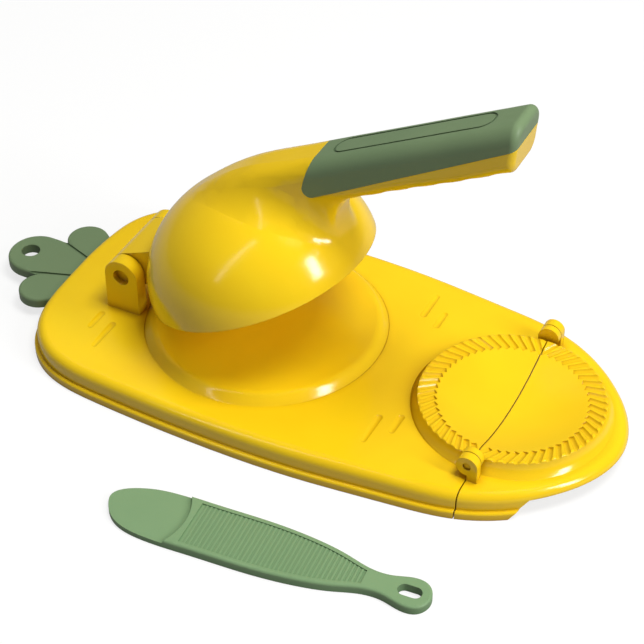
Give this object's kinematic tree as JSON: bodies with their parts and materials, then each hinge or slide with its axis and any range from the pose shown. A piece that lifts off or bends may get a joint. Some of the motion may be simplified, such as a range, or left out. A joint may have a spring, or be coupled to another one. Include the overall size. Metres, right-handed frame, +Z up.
{
  "type": "dumpling maker",
  "caption": "Carrot-shaped dumpling maker: hinged dome press with a handle over a round platform, folding half of a crimping mould at the nose, and a loose filling spatula.",
  "frame": {"origin": "on the table, under the middle of the press platform, on the bottom of the support hub", "axes": "+X from the press to the folding nose, +Y away from the front edge, +Z up from the table"},
  "size_m": [0.35, 0.2256, 0.1828],
  "materials": {
    "yellow_abs": "gloss",
    "green_pp": "satin",
    "zinc_steel": "zinc plated"
  },
  "bodies": {
    "base": {"base_tray": "yellow_abs", "leaf_tab": "green_pp", "leaf_screws": "zinc_steel", "press_hinge_pin": "yellow_abs", "flap_hinge_pin_front": "yellow_abs", "flap_hinge_pin_rear": "yellow_abs"},
    "press_head": {"press_dome": "yellow_abs", "handle_cover": "green_pp", "handle_cover_screws": "zinc_steel", "press_plate": "yellow_abs", "press_plate_screws": "zinc_steel"},
    "folding_nose": {"mould_flap": "yellow_abs"},
    "spatula": {"filling_spatula": "green_pp"}
  },
  "joints": [
    {"name": "press_hinge", "type": "hinge", "parent": "base", "child": "press_head", "pos_m": [-0.0705, 0, 0.0375], "axis": [0, -1, 0], "range_deg": [-22.4, 75]},
    {"name": "flap_hinge", "type": "hinge", "parent": "base", "child": "folding_nose", "pos_m": [0.135, 0, 0.0227], "axis": [0, -1, 0], "range_deg": [0, 180]},
    {"name": "spatula_lift", "type": "slide", "parent": "base", "child": "spatula", "axis": [0, 0, 1], "range_m": [0, 0.05]}
  ]
}
